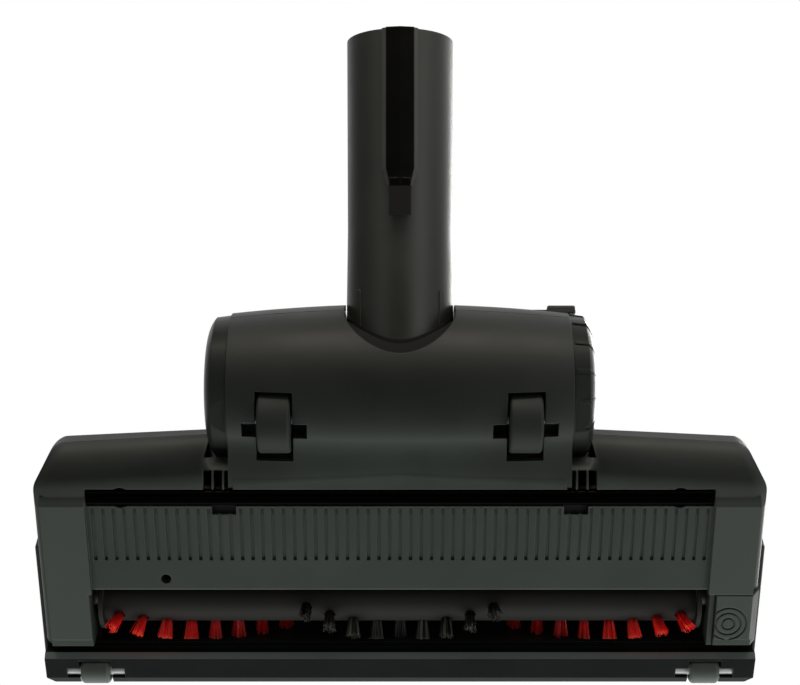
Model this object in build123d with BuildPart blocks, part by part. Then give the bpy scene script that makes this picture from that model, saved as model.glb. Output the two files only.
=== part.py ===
"""Vacuum floor brush head with an air turbine: a barrel with a tilting neck and a wide head
with a belt-driven bristle roller. Millimetres, +Z up, wheels on Z = 0, front towards -Y."""
import os
from math import acos, atan2, cos, radians, sin, sqrt

from build123d import *

# Overall sizes
axis_height = 36.0
front_reach = 115.5
body_half = 140.1
skirt_half = 142.4
wall = 2.4
sole_z = 3.8
sole_thick = 2.6
pad_z = 1.8
fit_gap = 0.4
running_gap = 0.06

# Barrel and its end caps
barrel_radius = 32.5
barrel_end_radius = 29.0
barrel_half = 65.0
cap_thick = 9.0
cap_radius = 28.2
cap_spigot = 2.2
spigot_gap = 0.2
grip_count = 15
grip_rise = 0.5
grip_turn = -6.4
cap_flat = 27.2
cap_collar = 0.6
rib_across = 1.3

# Neck tube
neck_length = 137.0
tube_start = 12.0
neck_tilt = 26.0
neck_low = -3.0
neck_high = 93.0
mouth_radius = 21.0
neck_base_radius = 20.2
bore_radius = 17.75
bore_depth = 60.0
throat_radius = 17.0
neck_slot_half = 21.2
drum_radius = 26.0
drum_half = 23.8
drum_wall = 2.2
drum_open_half = 62.0
journal_radius = 7.0
journal_end = 28.0
guide_middle = 29.0
guide_length = 16.0
guide_width = 3.0
guide_turn = 50.0
guide_rise = 0.9

# Parking hook on the neck
hook_width = 10.9
hook_length = 60.6
hook_taper = 6.0
hook_radius = 23.6
tongue_width = 8.3
tongue_length = 12.2
tongue_thick = 1.6

# Head outline seen from below, as distances in front of the barrel axis
rear_mid = 15.6
rear_side = 24.2
rear_corner = 8.0
front_side = 114.0
front_corner = 3.0
sole_round = 7.0
valley_round = 12.0
hood_top = 43.0
hood_rear_round = 18.0
shoulder_round = 9.0
hood_bend = 24.0
hump_top = 64.5
hump_low_half = 62.0
hump_top_half = 50.0
split_step_rear = 50.0
split_step_front = 56.0
split_low = 12.0
skirt_round = 1.4
seam_gap = 0.25

# Sole details
lip_rear = 28.2
lip_front = 35.2
lip_half = 119.2
rib_rear = 36.0
rib_front = 58.4
rib_pitch = 4.03
rib_count = 59
rib_width = 1.3
rib_depth = 1.0
pad_inner = 119.4
pad_outer = 136.6
pad_rear = 31.5
pad_front = 92.9
ledge_z = 3.0
screw_x = 105.9
screw_f = 31.7
screw_radius = 1.7
screw_low = 12.0
screw_high = 39.0
screw_head_radius = 3.6
screw_head_high = 2.4
boss_radius = 5.6
louvre_x = (64.7, 68.7, 72.7)
louvre_width = 3.3
louvre_rear = 21.5
notch_x = 66.8
notch_width = 9.2
notch_front = 38.7
hole_x = 90.4
hole_f = 66.7
hole_radius = 2.0
ring_x = -127.9
ring_f = 85.6
ring_radii = (7.0, 4.8, 2.4)

# Brush roller
brush_f = 82.6
brush_z = 16.9
core_radius = 9.2
tip_radius = 16.5
core_half = 118.0
slot_half = 120.4
slot_rear = 72.7
slot_front = 96.4
tunnel_radius = 17.2
tunnel_wall = 2.0
tuft_pitch = 9.2
tuft_count = 25
tuft_sink = 3.0
tuft_base = 2.0
tuft_tip = 3.0
tuft_lean = 20.0
tuft_lean_from = 84.0
red_start = -258.0
red_helix = 1.35
black_start = -170.0
black_helix = 2.3
black_reach = 40.0
brush_shaft_radius = 3.0
bush_radius = 5.5
brush_pulley_radius = 8.6
flange_rise = 1.3

# Air turbine and belt
turbine_f = 47.0
turbine_z = 28.0
rotor_radius = 16.0
rotor_half = 20.0
rotor_blades = 12
turbine_shaft_radius = 2.0
bearing_radius = 5.0
bearing_width = 3.0
plate_inner = 25.0
plate_thick = 3.0
turbine_pulley_radius = 4.0
belt_x = 125.6
belt_width = 5.0
belt_thick = 1.2
belt_gap = 0.15
far_bearing_x = 132.4

# Wheels
rear_wheel_radius = 12.4
rear_wheel_width = 12.4
rear_wheel_x = 47.0
rear_wheel_f = 3.4
well_gap = 1.2
well_wall = 1.8
rear_axle_radius = 1.6
rear_axle_length = 24.6
axle_slot = 4.4
roller_radius = 5.5
roller_width = 11.4
roller_x = 120.4
roller_f = 108.7
roller_axle_radius = 2.1
roller_axle_length = 22.8

# Front bar
bar_rear = 100.0
bar_low = 2.2

# Suction regulator slider on the barrel
slider_angle = 40.0
slider_seat = 28.6
slider_outer = -69.0
slider_foot = 1.4
knob_high = 4.2
knob_round = 1.2

neck_cos = cos(radians(neck_tilt))
neck_sin = sin(radians(neck_tilt))
rear_reach = neck_length * neck_cos + hook_radius * neck_sin
axis_y = (front_reach - rear_reach) / 2
axis_point = (0, axis_y, axis_height)
barrel_axis = Axis(axis_point, (1, 0, 0))
tilt_plane = Plane(origin=axis_point, x_dir=(0, neck_cos, neck_sin), z_dir=(1, 0, 0))
neck_axis = Axis(axis_point, (0, neck_cos, neck_sin))


def fwd(distance):
    """Y of a point this far in front of the barrel axis."""
    return axis_y - distance


def side(points):
    """Side-view points, given as front distance and height, on the YZ plane."""
    return [(fwd(f), z) for f, z in points]


def plan(points):
    """Plan points, given as X and front distance."""
    return [(x, fwd(f)) for x, f in points]


def near(sketch, x, y):
    """Corner of a sketch at a given place."""
    return [v for v in sketch.vertices() if abs(v.X - x) < 0.01 and abs(v.Y - y) < 0.01]


def cross(x, f, z):
    """Plane square to X at a given place; extrudes run towards +X."""
    return Plane(origin=(x, fwd(f), z), x_dir=(0, 1, 0), z_dir=(1, 0, 0))


def rod(x0, x1, f, z, radius):
    """Round bar along X."""
    with BuildPart() as bar:
        with BuildSketch(cross(x0, f, z)):
            Circle(radius)
        extrude(amount=x1 - x0)
    return bar.part


def block(x0, x1, f0, f1, z0, z1):
    """Box between two corners."""
    with BuildPart() as box:
        with BuildSketch(Plane.XY.offset(z0)):
            Polygon(*plan([(x0, f0), (x1, f0), (x1, f1), (x0, f1)]), align=None)
        extrude(amount=z1 - z0)
    return box.part


def post(x, f, z0, z1, radius):
    """Round bar along Z."""
    with BuildPart() as bar:
        with BuildSketch(Plane.XY.offset(z0)):
            with Locations((x, fwd(f))):
                Circle(radius)
        extrude(amount=z1 - z0)
    return bar.part


def slab(points, x0, x1):
    """Side-view polygon drawn out along X."""
    with BuildPart() as body:
        with BuildSketch(Plane.YZ.offset(x0)):
            Polygon(*side(points), align=None)
        extrude(amount=x1 - x0)
    return body.part


def barrel_form(inset, half):
    """Crowned barrel about the tilt axis."""
    with BuildPart() as body:
        with BuildSketch(Plane(origin=axis_point)):
            with BuildLine():
                ThreePointArc(
                    (-half, barrel_end_radius - inset),
                    (0, barrel_radius - inset),
                    (half, barrel_end_radius - inset),
                )
                Polyline((half, barrel_end_radius - inset), (half, 0), (-half, 0),
                         (-half, barrel_end_radius - inset))
            make_face()
        revolve(axis=barrel_axis)
    return body.part


def plan_prism(inset, z0, z1):
    """Plan outline of the head drawn up between two heights."""
    with BuildPart() as body:
        with BuildSketch(Plane.XY.offset(z0)) as outline:
            with BuildLine():
                Polyline(*plan([(-body_half + front_corner, front_side),
                                (-body_half, front_side - front_corner), (-body_half, rear_side),
                                (0, rear_mid), (body_half, rear_side),
                                (body_half, front_side - front_corner),
                                (body_half - front_corner, front_side)]))
                ThreePointArc(*plan([(body_half - front_corner, front_side), (0, front_reach),
                                     (-body_half + front_corner, front_side)]))
            make_face()
            for x in (-body_half, body_half):
                fillet(near(outline, x, fwd(rear_side)), rear_corner)
            if inset:
                offset(amount=-inset, kind=Kind.INTERSECTION)
        extrude(amount=z1 - z0)
    return body.part


def head_form(inset, floor):
    """Head with rounded rear sole edge, sloping hood and rounded shoulders."""
    prism = plan_prism(inset, sole_z + floor, sole_z + 70)
    with BuildPart() as body:
        add(prism)
        low_edges = body.edges().group_by(Axis.Z)[0]
        fillet([e for e in low_edges if e.center().Y > fwd(front_side - 7)], sole_round - inset)
        with BuildSketch(Plane.YZ) as profile:
            Polygon(*side([(10, 0), (10, hood_top), (64, hood_top), (103, 34),
                           (front_reach + 1, split_low + 1), (front_reach + 1, 0)]), align=None)
            fillet(near(profile, fwd(10), hood_top), hood_rear_round)
            fillet(near(profile, fwd(64), hood_top), hood_bend)
            fillet(near(profile, fwd(103), 34), hood_bend)
            if inset:
                offset(amount=-inset, kind=Kind.INTERSECTION)
        extrude(amount=body_half + 5, both=True, mode=Mode.INTERSECT)
        with BuildSketch(Plane.XZ) as front:
            Polygon((-body_half, 0), (-body_half, hood_top), (body_half, hood_top), (body_half, 0),
                    align=None)
            fillet(front.vertices().group_by(Axis.Y)[-1], shoulder_round)
            if inset:
                offset(amount=-inset, kind=Kind.INTERSECTION)
        extrude(amount=200, both=True, mode=Mode.INTERSECT)
    return body.part


def hump_form(inset):
    """Raised middle of the hood over the turbine, running into the barrel."""
    with BuildPart() as body:
        with BuildSketch(Plane.YZ) as profile:
            Polygon(*side([(-4, 20), (-4, hump_top), (14, hump_top), (88, 38), (88, 20)]), align=None)
            fillet(near(profile, fwd(14), hump_top), hood_bend)
            if inset:
                offset(amount=-inset, kind=Kind.INTERSECTION)
        extrude(amount=hump_low_half, both=True)
        with BuildSketch(Plane.XZ) as front:
            Polygon((-hump_low_half, 20), (-hump_low_half, axis_height), (-hump_top_half, 66),
                     (hump_top_half, 66), (hump_low_half, axis_height), (hump_low_half, 20), align=None)
            fillet(near(front, -hump_top_half, 66) + near(front, hump_top_half, 66), 10)
            if inset:
                offset(amount=-inset, kind=Kind.INTERSECTION)
        extrude(amount=200, both=True, mode=Mode.INTERSECT)
    return body.part


def skirt_form(half):
    """Wider lower sides of the hood in front of the split step."""
    with BuildPart() as body:
        with BuildSketch(Plane.YZ):
            Polygon(*side([(split_step_rear + 1, 34), (split_step_front + 1, split_low),
                            (front_side - 6, split_low), (front_side - 12, 20), (88, 34)]), align=None)
        extrude(amount=half, both=True)
        fillet([e for e in body.edges() if abs(e.center().X) > half - 0.1], skirt_round)
    return body.part


def swing_form(half, low, high):
    """Space swept by the neck about the tilt axis."""
    with BuildPart() as body:
        for angle in (low, high):
            way = (0, cos(radians(angle)), sin(radians(angle)))
            with BuildSketch(Plane(origin=axis_point, x_dir=(1, 0, 0), z_dir=way)):
                Circle(half)
            extrude(amount=70)
        flank = (0, sin(radians(low)), -cos(radians(low)))
        with BuildSketch(Plane(origin=axis_point, x_dir=(1, 0, 0), z_dir=flank)):
            with Locations((0, -35)):
                Rectangle(2 * half, 70)
        revolve(axis=barrel_axis, revolution_arc=high - low)
    return body.part


def valley_section(x):
    """Corner points and arc middle of the soft valley between barrel and sole at a given X."""
    crown = barrel_radius - barrel_end_radius
    sweep = (barrel_half ** 2 + crown ** 2) / (2 * crown)
    radius = barrel_radius - sweep + sqrt(sweep ** 2 - x ** 2)
    slope = (rear_side - rear_mid) / body_half
    round_f = rear_mid + slope * abs(x) + sole_round * sqrt(1 + slope ** 2)
    round_z = sole_z + sole_round
    far = radius + valley_round
    close = sole_round + valley_round
    span = sqrt(round_f ** 2 + (axis_height - round_z) ** 2)
    bearing = atan2(round_z - axis_height, round_f)
    inner = acos((far ** 2 + span ** 2 - close ** 2) / (2 * far * span))
    heading = bearing - inner
    centre = (far * cos(heading), axis_height + far * sin(heading))
    on_barrel = (radius * cos(heading), axis_height + radius * sin(heading))
    ratio = sole_round / close
    on_sole = (round_f + (centre[0] - round_f) * ratio, round_z + (centre[1] - round_z) * ratio)
    aim = ((on_barrel[0] + on_sole[0]) / 2 - centre[0], (on_barrel[1] + on_sole[1]) / 2 - centre[1])
    reach = valley_round / sqrt(aim[0] ** 2 + aim[1] ** 2)
    middle = (centre[0] + aim[0] * reach, centre[1] + aim[1] * reach)
    apex = (centre[0] + aim[0] * reach * 2.2, centre[1] + aim[1] * reach * 2.2)
    return on_barrel, middle, on_sole, apex


def valley_form(s):
    """Soft valley on one side of the middle."""
    with BuildPart() as body:
        for x in (0, 22, 44, barrel_half):
            on_barrel, middle, on_sole, apex = side(valley_section(x))
            with BuildSketch(Plane.YZ.offset(s * x)):
                with BuildLine():
                    ThreePointArc(on_barrel, middle, on_sole)
                    Polyline(on_sole, apex, on_barrel)
                make_face()
        loft()
    return body.part


def slider_box(x0, x1, half, r0, r1):
    """Box on the slider's flat, between two distances from the barrel axis."""
    way = (0, cos(radians(slider_angle)), sin(radians(slider_angle)))
    with BuildPart() as box:
        with BuildSketch(Plane(origin=axis_point, x_dir=(1, 0, 0), z_dir=way).offset(r0)):
            with Locations(((x0 + x1) / 2, 0)):
                Rectangle(x1 - x0, 2 * half)
        extrude(amount=r1 - r0)
    return box.part


def split_form(rise):
    """Everything below the stepped split between the two shells."""
    return slab([(-40, -6), (-40, axis_height + rise), (split_step_rear + rise, axis_height + rise),
                 (split_step_front + rise, split_low + rise), (130, split_low + rise), (130, -6)],
                -150, 150)


def kept_inside(piece, form):
    """The share of a piece that lies within a form."""
    with BuildPart() as body:
        add(piece)
        add(form, mode=Mode.INTERSECT)
    return body.part


def save(piece, name):
    """Label a piece and write its file."""
    piece.label = name
    export_step(piece, f"parts/{name}.step")


os.makedirs("parts", exist_ok=True)

# Shared forms of the two housing shells
head_outer = head_form(0, 0)
head_inner = head_form(wall, sole_thick)
barrel_outer = barrel_form(0, barrel_half)
barrel_inner = barrel_form(wall, barrel_half)
hump_outer = hump_form(0)
hump_inner = hump_form(wall)
valleys = [valley_form(s) for s in (-1, 1)]
swing = swing_form(neck_slot_half, neck_low, neck_high)
low_region = split_form(0)
seam_region = split_form(seam_gap)
tunnel = rod(-slot_half, slot_half, brush_f, brush_z, tunnel_radius)
tunnel_skin = rod(-slot_half - tunnel_wall, slot_half + tunnel_wall, brush_f, brush_z,
                  tunnel_radius + tunnel_wall)
shaft_hole = rod(-slot_half - 4, slot_half + 4, brush_f, brush_z, bush_radius + 1)
cap_pocket_x = barrel_half + cap_thick + 1
cap_pocket_radius = barrel_end_radius + 0.2

# Lower shell: sole, rear walls and the lower half of the barrel
with BuildPart() as base_shell:
    add(head_outer)
    add(barrel_outer)
    add(valleys)
    add(head_inner, mode=Mode.SUBTRACT)
    add(barrel_inner, mode=Mode.SUBTRACT)
    for s in (-1, 1):
        ends = sorted((s * (barrel_half - 2), s * (cap_pocket_x + 2)))
        add(kept_inside(rod(*ends, 0, axis_height, cap_pocket_radius + 2), head_outer))
    for s in (-1, 1):
        ends = sorted((s * barrel_half, s * cap_pocket_x))
        add(rod(*ends, 0, axis_height, cap_pocket_radius), mode=Mode.SUBTRACT)
    add(barrel_inner, mode=Mode.SUBTRACT)
    add(kept_inside(block(-lip_half - 3, lip_half + 3, lip_rear - 3, lip_front + 3, 6, 8.6), head_outer))
    add(low_region, mode=Mode.INTERSECT)
    add(block(-150, 150, slot_front, 130, -6, split_low), mode=Mode.SUBTRACT)
    # bearing plates for the neck and the turbine
    for s in (-1, 1):
        ends = sorted((s * plate_inner, s * (plate_inner + plate_thick)))
        plate = slab([(-34, 3), (-34, axis_height), (62, axis_height), (62, 3)], *ends)
        add(kept_inside(plate, barrel_outer))
        add(kept_inside(plate, head_outer))
        add(rod(*ends, 0, axis_height, journal_radius + running_gap), mode=Mode.SUBTRACT)
        add(rod(*ends, turbine_f, turbine_z, bearing_radius), mode=Mode.SUBTRACT)
        add(block(*ends, turbine_f - bearing_radius, turbine_f + bearing_radius, turbine_z,
                  axis_height + 1), mode=Mode.SUBTRACT)
    # rear side of the brush tunnel with its end plates
    tunnel_back = block(-slot_half - tunnel_wall, slot_half + tunnel_wall, 60, brush_f, sole_z, split_low)
    add(kept_inside(tunnel_skin, tunnel_back))
    add(tunnel, mode=Mode.SUBTRACT)
    for s in (-1, 1):
        ends = sorted((s * slot_half, s * (slot_half + tunnel_wall)))
        add(block(*ends, slot_rear - 2, slot_front, sole_z, split_low))
    add(shaft_hole, mode=Mode.SUBTRACT)
    # glide pads
    for s in (-1, 1):
        ends = sorted((s * pad_inner, s * pad_outer))
        add(slab([(pad_rear, sole_z + 1), (pad_rear, sole_z), (pad_rear + 3, pad_z), (pad_front, pad_z),
                  (pad_front + 0.8, ledge_z), (slot_front, ledge_z), (slot_front, sole_z + 1)], *ends))
    add(block(-slot_half, slot_half, slot_rear, slot_front + 1, -6, split_low + 1), mode=Mode.SUBTRACT)
    # seat of the bearing cap
    seat_x = -slot_half - tunnel_wall
    add(block(-150, seat_x, slot_rear, slot_front + 1, -6, split_low + 1), mode=Mode.SUBTRACT)
    add(block(seat_x, -slot_half, slot_rear, slot_front + 1, -6, sole_z), mode=Mode.SUBTRACT)
    # supports of the far turbine bearing and the left brush bush
    far = block(far_bearing_x - 0.5, body_half, turbine_f - 7, turbine_f + 7, sole_z + 1, axis_height)
    add(kept_inside(kept_inside(far, head_outer), low_region))
    add(rod(far_bearing_x, far_bearing_x + bearing_width, turbine_f, turbine_z, bearing_radius),
        mode=Mode.SUBTRACT)
    add(block(far_bearing_x - 1, far_bearing_x + bearing_width, turbine_f - bearing_radius,
              turbine_f + bearing_radius, turbine_z, axis_height + 1), mode=Mode.SUBTRACT)
    add(rod(far_bearing_x - 1, far_bearing_x + bearing_width, turbine_f, turbine_z, bearing_radius - 1),
        mode=Mode.SUBTRACT)
    add(block(far_bearing_x - 0.5, far_bearing_x + bearing_width, brush_f - 7, brush_f + 7, sole_z + 1,
              brush_z))
    add(rod(far_bearing_x - 1, far_bearing_x + bearing_width + 1, brush_f, brush_z, bush_radius),
        mode=Mode.SUBTRACT)
    # screw bosses
    for s in (-1, 1):
        add(kept_inside(post(s * screw_x, screw_f, 6, axis_height, boss_radius), low_region))
        add(post(s * screw_x, screw_f, -1, screw_low, screw_head_radius + 0.6), mode=Mode.SUBTRACT)
        add(post(s * screw_x, screw_f, screw_low - 1, axis_height + 1, screw_radius + 0.5),
            mode=Mode.SUBTRACT)
    # groove of the lip, ribbed panel, louvres, notches and small hole
    add(block(-lip_half, lip_half, lip_rear, lip_front, -1, 6), mode=Mode.SUBTRACT)
    with BuildSketch(Plane.XY.offset(sole_z)):
        with Locations((0, fwd((rib_rear + rib_front) / 2))):
            with GridLocations(rib_pitch, 1, rib_count, 1):
                Rectangle(rib_width, rib_front - rib_rear)
    extrude(amount=rib_depth, mode=Mode.SUBTRACT)
    for s in (-1, 1):
        for x in louvre_x:
            half = louvre_width / 2
            add(block(s * x - half, s * x + half, louvre_rear, lip_rear + 0.5, -1, 9), mode=Mode.SUBTRACT)
        half = notch_width / 2
        add(block(s * notch_x - half, s * notch_x + half, lip_front - 0.1, notch_front, -1, 5.6),
            mode=Mode.SUBTRACT)
    add(post(hole_x, hole_f, -1, 9, hole_radius), mode=Mode.SUBTRACT)
    # wheel wells and axle seats
    well_half = rear_wheel_width / 2 + 0.8
    well_reach = rear_wheel_radius + well_gap
    wall_half = well_half + well_wall
    wall_reach = well_reach + well_wall
    for s in (-1, 1):
        x = s * rear_wheel_x
        reach = rear_axle_length / 2
        cheek = reach + 0.9
        walls = (x - wall_half, x + wall_half)
        well = (x - well_half, x + well_half)
        seat = (x - reach, x + reach)
        add(kept_inside(rod(*walls, rear_wheel_f, rear_wheel_radius, wall_reach), barrel_outer))
        add(kept_inside(block(*walls, rear_wheel_f - wall_reach, rear_wheel_f + wall_reach, 0,
                              rear_wheel_radius), barrel_outer))
        add(kept_inside(block(x - cheek, x + cheek, rear_wheel_f - 4.5, rear_wheel_f + axle_slot + 2, 0,
                              17), barrel_outer))
        add(rod(*well, rear_wheel_f, rear_wheel_radius, well_reach), mode=Mode.SUBTRACT)
        add(block(*well, rear_wheel_f - well_reach, rear_wheel_f + well_reach, -1, rear_wheel_radius),
            mode=Mode.SUBTRACT)
        add(rod(*seat, rear_wheel_f, rear_wheel_radius, rear_axle_radius), mode=Mode.SUBTRACT)
        add(block(*seat, rear_wheel_f - rear_axle_radius, rear_wheel_f + axle_slot, -1,
                  rear_wheel_radius), mode=Mode.SUBTRACT)
    add(swing, mode=Mode.SUBTRACT)
save(base_shell.part, "base_shell")

# Upper shell: hood, hump over the turbine and the upper half of the barrel
with BuildPart() as top_cover:
    add(head_outer)
    add(skirt_form(skirt_half))
    add(hump_outer)
    add(barrel_outer)
    add(head_inner, mode=Mode.SUBTRACT)
    add(hump_inner, mode=Mode.SUBTRACT)
    add(barrel_inner, mode=Mode.SUBTRACT)
    for s in (-1, 1):
        ends = sorted((s * (barrel_half - 2), s * (cap_pocket_x + 2)))
        add(kept_inside(rod(*ends, 0, axis_height, cap_pocket_radius + 2), head_outer))
    for s in (-1, 1):
        ends = sorted((s * barrel_half, s * cap_pocket_x))
        add(rod(*ends, 0, axis_height, cap_pocket_radius), mode=Mode.SUBTRACT)
    add(barrel_inner, mode=Mode.SUBTRACT)
    # brush tunnel roof hung on webs
    for x in (-slot_half - tunnel_wall, -61, -1, 59, slot_half):
        web = slab([(64, split_low), (64, 60), (100, 60), (100, split_low)], x, x + tunnel_wall)
        add(kept_inside(web, head_outer))
    add(tunnel_skin)
    add(tunnel, mode=Mode.SUBTRACT)
    add(shaft_hole, mode=Mode.SUBTRACT)
    add(block(-18, 18, 58, 70, 14, 25), mode=Mode.SUBTRACT)
    # upper halves of the bearing plates with tabs over the turbine bearings
    for s in (-1, 1):
        ends = sorted((s * plate_inner, s * (plate_inner + plate_thick)))
        plate = slab([(-34, axis_height), (-34, 70), (60, 70), (60, axis_height)], *ends)
        add(kept_inside(plate, barrel_outer))
        add(kept_inside(plate, hump_outer))
        add(rod(*ends, 0, axis_height, journal_radius + running_gap), mode=Mode.SUBTRACT)
    add(seam_region, mode=Mode.SUBTRACT)
    for s in (-1, 1):
        ends = sorted((s * plate_inner, s * (plate_inner + plate_thick)))
        add(block(*ends, turbine_f - bearing_radius, turbine_f + bearing_radius, turbine_z + bearing_radius,
                  axis_height + 1))
    # upper seats of the brush bushes
    for x0, x1 in ((far_bearing_x - 0.5, body_half - 1), (-body_half + 1, -125.5)):
        add(kept_inside(block(x0, x1, brush_f - 7, brush_f + 7, brush_z + fit_gap, 46), head_outer))
    add(rod(far_bearing_x - 1, far_bearing_x + bearing_width, brush_f, brush_z, bush_radius),
        mode=Mode.SUBTRACT)
    add(rod(-131.2, -125, brush_f, brush_z, bush_radius), mode=Mode.SUBTRACT)
    # screw bosses
    for s in (-1, 1):
        add(kept_inside(post(s * screw_x, screw_f, axis_height, 60, boss_radius), head_outer))
        add(post(s * screw_x, screw_f, axis_height - 1, screw_high + 0.4, screw_radius), mode=Mode.SUBTRACT)
    # flat, guide slot and air window of the regulator slider
    add(slider_box(-barrel_half - 1, -40, 6, slider_seat, 50), mode=Mode.SUBTRACT)
    add(slider_box(-63.2, -50.4, 1.3, 18, 40), mode=Mode.SUBTRACT)
    add(slider_box(-48.5, -42.5, 3.5, 18, 40), mode=Mode.SUBTRACT)
    add(swing, mode=Mode.SUBTRACT)
save(top_cover.part, "top_cover")

# Front bar that carries the small rollers
bar_outline = plan_prism(0, -1, split_low)
with BuildPart() as front_bar:
    add(slab([(slot_front + fit_gap, split_low), (slot_front + fit_gap, 8), (bar_rear, 8), (bar_rear, 4.2),
              (bar_rear + 1.9, bar_low), (front_side - 3, bar_low + 0.7), (front_side, 4.6),
              (front_reach + 0.5, 8), (front_reach + 0.5, split_low)], -body_half, body_half))
    add(bar_outline, mode=Mode.INTERSECT)
    add(tunnel, mode=Mode.SUBTRACT)
    for s in (-1, 1):
        x = s * roller_x
        reach = roller_axle_length / 2
        add(rod(x - roller_width / 2 - 0.7, x + roller_width / 2 + 0.7, roller_f, roller_radius,
                roller_radius + 1), mode=Mode.SUBTRACT)
        add(rod(x - reach, x + reach, roller_f, roller_radius, roller_axle_radius), mode=Mode.SUBTRACT)
        add(block(x - reach, x + reach, roller_f - roller_axle_radius, roller_f + roller_axle_radius, -1,
                  roller_radius), mode=Mode.SUBTRACT)
save(front_bar.part, "front_bar")

# Removable corner that holds the right brush bush from below
cap_right_x = -slot_half - tunnel_wall - fit_gap
with BuildPart() as bearing_cap:
    with BuildSketch(Plane.XZ.offset(-fwd(slot_rear + fit_gap))):
        Polygon((cap_right_x, split_low - fit_gap), (cap_right_x, pad_z), (-pad_outer, pad_z),
                (-body_half, 7), (-body_half, split_low - fit_gap), align=None)
    extrude(amount=slot_front - slot_rear - 2 * fit_gap)
    add(block(-body_half - 1, cap_right_x + 1, pad_front, slot_front, 0, ledge_z), mode=Mode.SUBTRACT)
    add(block(-131.2, -125.5, brush_f - 6.6, brush_f + 6.6, split_low - 1, brush_z - 0.1))
    add(rod(-132, -125, brush_f, brush_z, bush_radius), mode=Mode.SUBTRACT)
    with BuildSketch(Plane.XY.offset(pad_z)):
        with Locations((ring_x, fwd(ring_f))):
            for radius in ring_radii:
                Circle(radius + 0.35)
                Circle(radius - 0.35, mode=Mode.SUBTRACT)
    extrude(amount=0.5, mode=Mode.SUBTRACT)
save(bearing_cap.part, "bearing_cap")

# Lip strip in the groove of the sole
with BuildPart() as sole_lip:
    with BuildSketch(Plane.YZ.offset(-lip_half + 0.5)) as section:
        Polygon(*side([(lip_rear + 0.6, 6), (lip_rear + 0.6, 3), (lip_front - 0.1, 3),
                       (lip_front - 0.1, 6)]), align=None)
        fillet(section.vertices().group_by(Axis.Y)[0], 2.2)
    extrude(amount=2 * lip_half - 1)
save(sole_lip.part, "sole_lip")


def cap_form(s, grow):
    """Domed cap about the barrel axis, enlarged for its ribs."""
    rim_x = s * (barrel_half + 6)
    edge_x = s * (barrel_half + cap_thick)
    with BuildPart() as body:
        with BuildSketch(Plane(origin=axis_point)):
            with BuildLine():
                Polyline((edge_x, 0), (s * barrel_half, 0), (s * barrel_half, cap_radius + grow),
                         (rim_x, cap_radius - 0.8 + grow))
                ThreePointArc((rim_x, cap_radius - 0.8 + grow),
                              (s * (barrel_half + cap_thick - 1.2), 24.6 + grow), (edge_x, 19 + grow))
                Line((edge_x, 19 + grow), (edge_x, 0))
            make_face()
        revolve(axis=barrel_axis)
    return body.part


def grip_rib(s, angle, form):
    """Radial rib that follows the dome of a cap."""
    way = (0, cos(radians(angle)), sin(radians(angle)))
    with BuildPart() as rib:
        with BuildSketch(Plane(origin=axis_point, x_dir=(1, 0, 0), z_dir=way).offset(18)):
            with Locations((s * (barrel_half + 5.4), 0)):
                Rectangle(cap_thick + 0.2, rib_across)
        extrude(amount=20)
        add(form, mode=Mode.INTERSECT)
    return rib.part


# End caps of the barrel, the right one with grip ribs
for s, name in ((1, "end_cap_left"), (-1, "end_cap_right")):
    dome = cap_form(s, 0)
    ribbed_dome = cap_form(s, grip_rise)
    grip_angles = [360 / grip_count * k + grip_turn for k in range(grip_count)] if s < 0 else []
    grips = [grip_rib(s, angle, ribbed_dome) for angle in grip_angles]
    spigot_ends = sorted((s * (barrel_half - cap_spigot), s * (barrel_half + 1)))
    hollow_ends = sorted((s * (barrel_half - cap_spigot - 1), s * (barrel_half + cap_thick - 2.2)))
    with BuildPart() as end_cap:
        add(dome)
        if grips:
            add(grips)
        flat_ends = sorted((s * (barrel_half + cap_collar), s * (barrel_half + cap_thick + 1)))
        add(block(*flat_ends, -20, 20, 0, axis_height - cap_flat), mode=Mode.SUBTRACT)
        add(rod(*spigot_ends, 0, axis_height, barrel_end_radius - wall - spigot_gap))
        add(rod(*hollow_ends, 0, axis_height, cap_radius - 4.2), mode=Mode.SUBTRACT)
    save(end_cap.part, name)

# Neck tube with its tilting drum and journals
with BuildPart() as tube_blank:
    with BuildSketch(tilt_plane):
        Polygon((tube_start, 0), (tube_start, neck_base_radius), (neck_length, mouth_radius),
                (neck_length, 0), align=None)
    revolve(axis=neck_axis)
tube_outer = tube_blank.part
with BuildPart() as neck_tube:
    with BuildSketch(tilt_plane):
        Circle(drum_radius)
        Circle(drum_radius - drum_wall, mode=Mode.SUBTRACT)
        wedge = 60.0
        opening = radians(drum_open_half)
        Polygon((0, 0), (-wedge * cos(opening), wedge * sin(opening)), (-wedge, 0),
                (-wedge * cos(opening), -wedge * sin(opening)), align=None, mode=Mode.SUBTRACT)
    extrude(amount=drum_half, both=True)
    for s in (-1, 1):
        ends = sorted((s * (drum_half - drum_wall), s * drum_half))
        add(rod(*ends, 0, axis_height, drum_radius))
        ends = sorted((s * (drum_half - drum_wall), s * journal_end))
        add(rod(*ends, 0, axis_height, journal_radius))
    add(tube_outer)
    with BuildSketch(tilt_plane):
        Polygon((0, 0), (0, throat_radius), (neck_length - bore_depth, throat_radius),
                (neck_length - bore_depth, bore_radius), (neck_length - 0.8, bore_radius),
                (neck_length, bore_radius + 0.8), (neck_length + 1, bore_radius + 0.8),
                (neck_length + 1, 0), align=None)
    revolve(axis=neck_axis, mode=Mode.SUBTRACT)
    # guide ribs at the foot of the tube
    for turn in (-guide_turn, guide_turn):
        way_up = (sin(radians(turn)), neck_sin * cos(radians(turn)), -neck_cos * cos(radians(turn)))
        guide_plane = Plane(origin=axis_point, x_dir=(0, neck_cos, neck_sin), z_dir=way_up)
        with BuildSketch(guide_plane.offset(neck_base_radius - 1)):
            with Locations((guide_middle, 0)):
                SlotOverall(guide_length, guide_width)
        extrude(amount=1 + guide_rise)
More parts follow.
